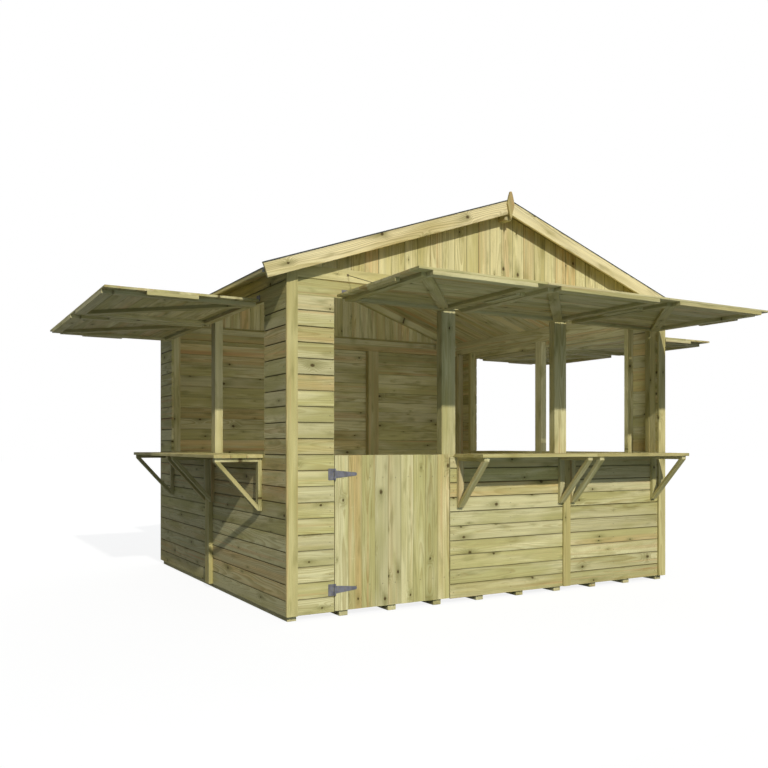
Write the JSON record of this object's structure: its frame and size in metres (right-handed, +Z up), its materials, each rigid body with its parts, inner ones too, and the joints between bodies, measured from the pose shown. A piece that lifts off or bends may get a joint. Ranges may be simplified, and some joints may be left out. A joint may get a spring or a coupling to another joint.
{
  "type": "wooden market stall",
  "caption": "Timber market stall with a pitched gable roof, a hinged half door, serving hatches propped level on the front and sides, and bracketed counter shelves below them.",
  "frame": {"origin": "on the ground, under the middle of the object's box", "axes": "+X to the right along the front, +Y from the front towards the back wall, +Z up"},
  "size_m": [5.61, 4.233, 3.0225],
  "materials": {
    "pine_boards": "matt, pressure treated",
    "frame_timber": "matt, pressure treated",
    "planed_trim": "matt, pressure treated",
    "roof_felt": "mineral grain",
    "ironwork": "satin"
  },
  "bodies": {
    "stall": {"back_gable_cladding": "pine_boards", "back_rails": "frame_timber", "back_studs": "frame_timber", "back_wall_cladding": "pine_boards", "bracket_arms": "frame_timber", "bracket_posts": "frame_timber", "bracket_struts": "frame_timber", "corner_trims": "planed_trim", "counter_shelves": "planed_trim", "counter_sills": "planed_trim", "cover_strips": "planed_trim", "door_hinge_plates": "ironwork", "eave_fascias": "frame_timber", "finials": "planed_trim", "floor_bearers": "frame_timber", "floor_deck": "pine_boards", "front_corner_cladding": "pine_boards", "front_counter_cladding": "pine_boards", "front_gable_cladding": "pine_boards", "front_hatches": "pine_boards", "front_head_cladding": "pine_boards", "front_rails": "frame_timber", "front_studs": "frame_timber", "gable_rafters": "frame_timber", "gable_rails": "frame_timber", "hatch_battens": "frame_timber", "hatch_hinges": "ironwork", "hatch_stays": "ironwork", "left_barge_boards": "planed_trim", "left_roof_boards": "pine_boards", "ridge_beam": "frame_timber", "right_barge_boards": "planed_trim", "right_roof_boards": "pine_boards", "roof_felt": "roof_felt", "side_counter_cladding": "pine_boards", "side_end_cladding": "pine_boards", "side_hatches": "pine_boards", "side_head_cladding": "pine_boards", "side_rails": "frame_timber", "side_studs": "frame_timber"},
    "door": {"door_leaf": "pine_boards", "door_ledges": "frame_timber", "door_hinge_straps": "ironwork"}
  },
  "joints": [
    {"name": "door_swing", "type": "hinge", "parent": "stall", "child": "door", "pos_m": [-1.397, -1.0695, 0.56], "axis": [0, 0, -1], "range_deg": [0, 160]}
  ]
}
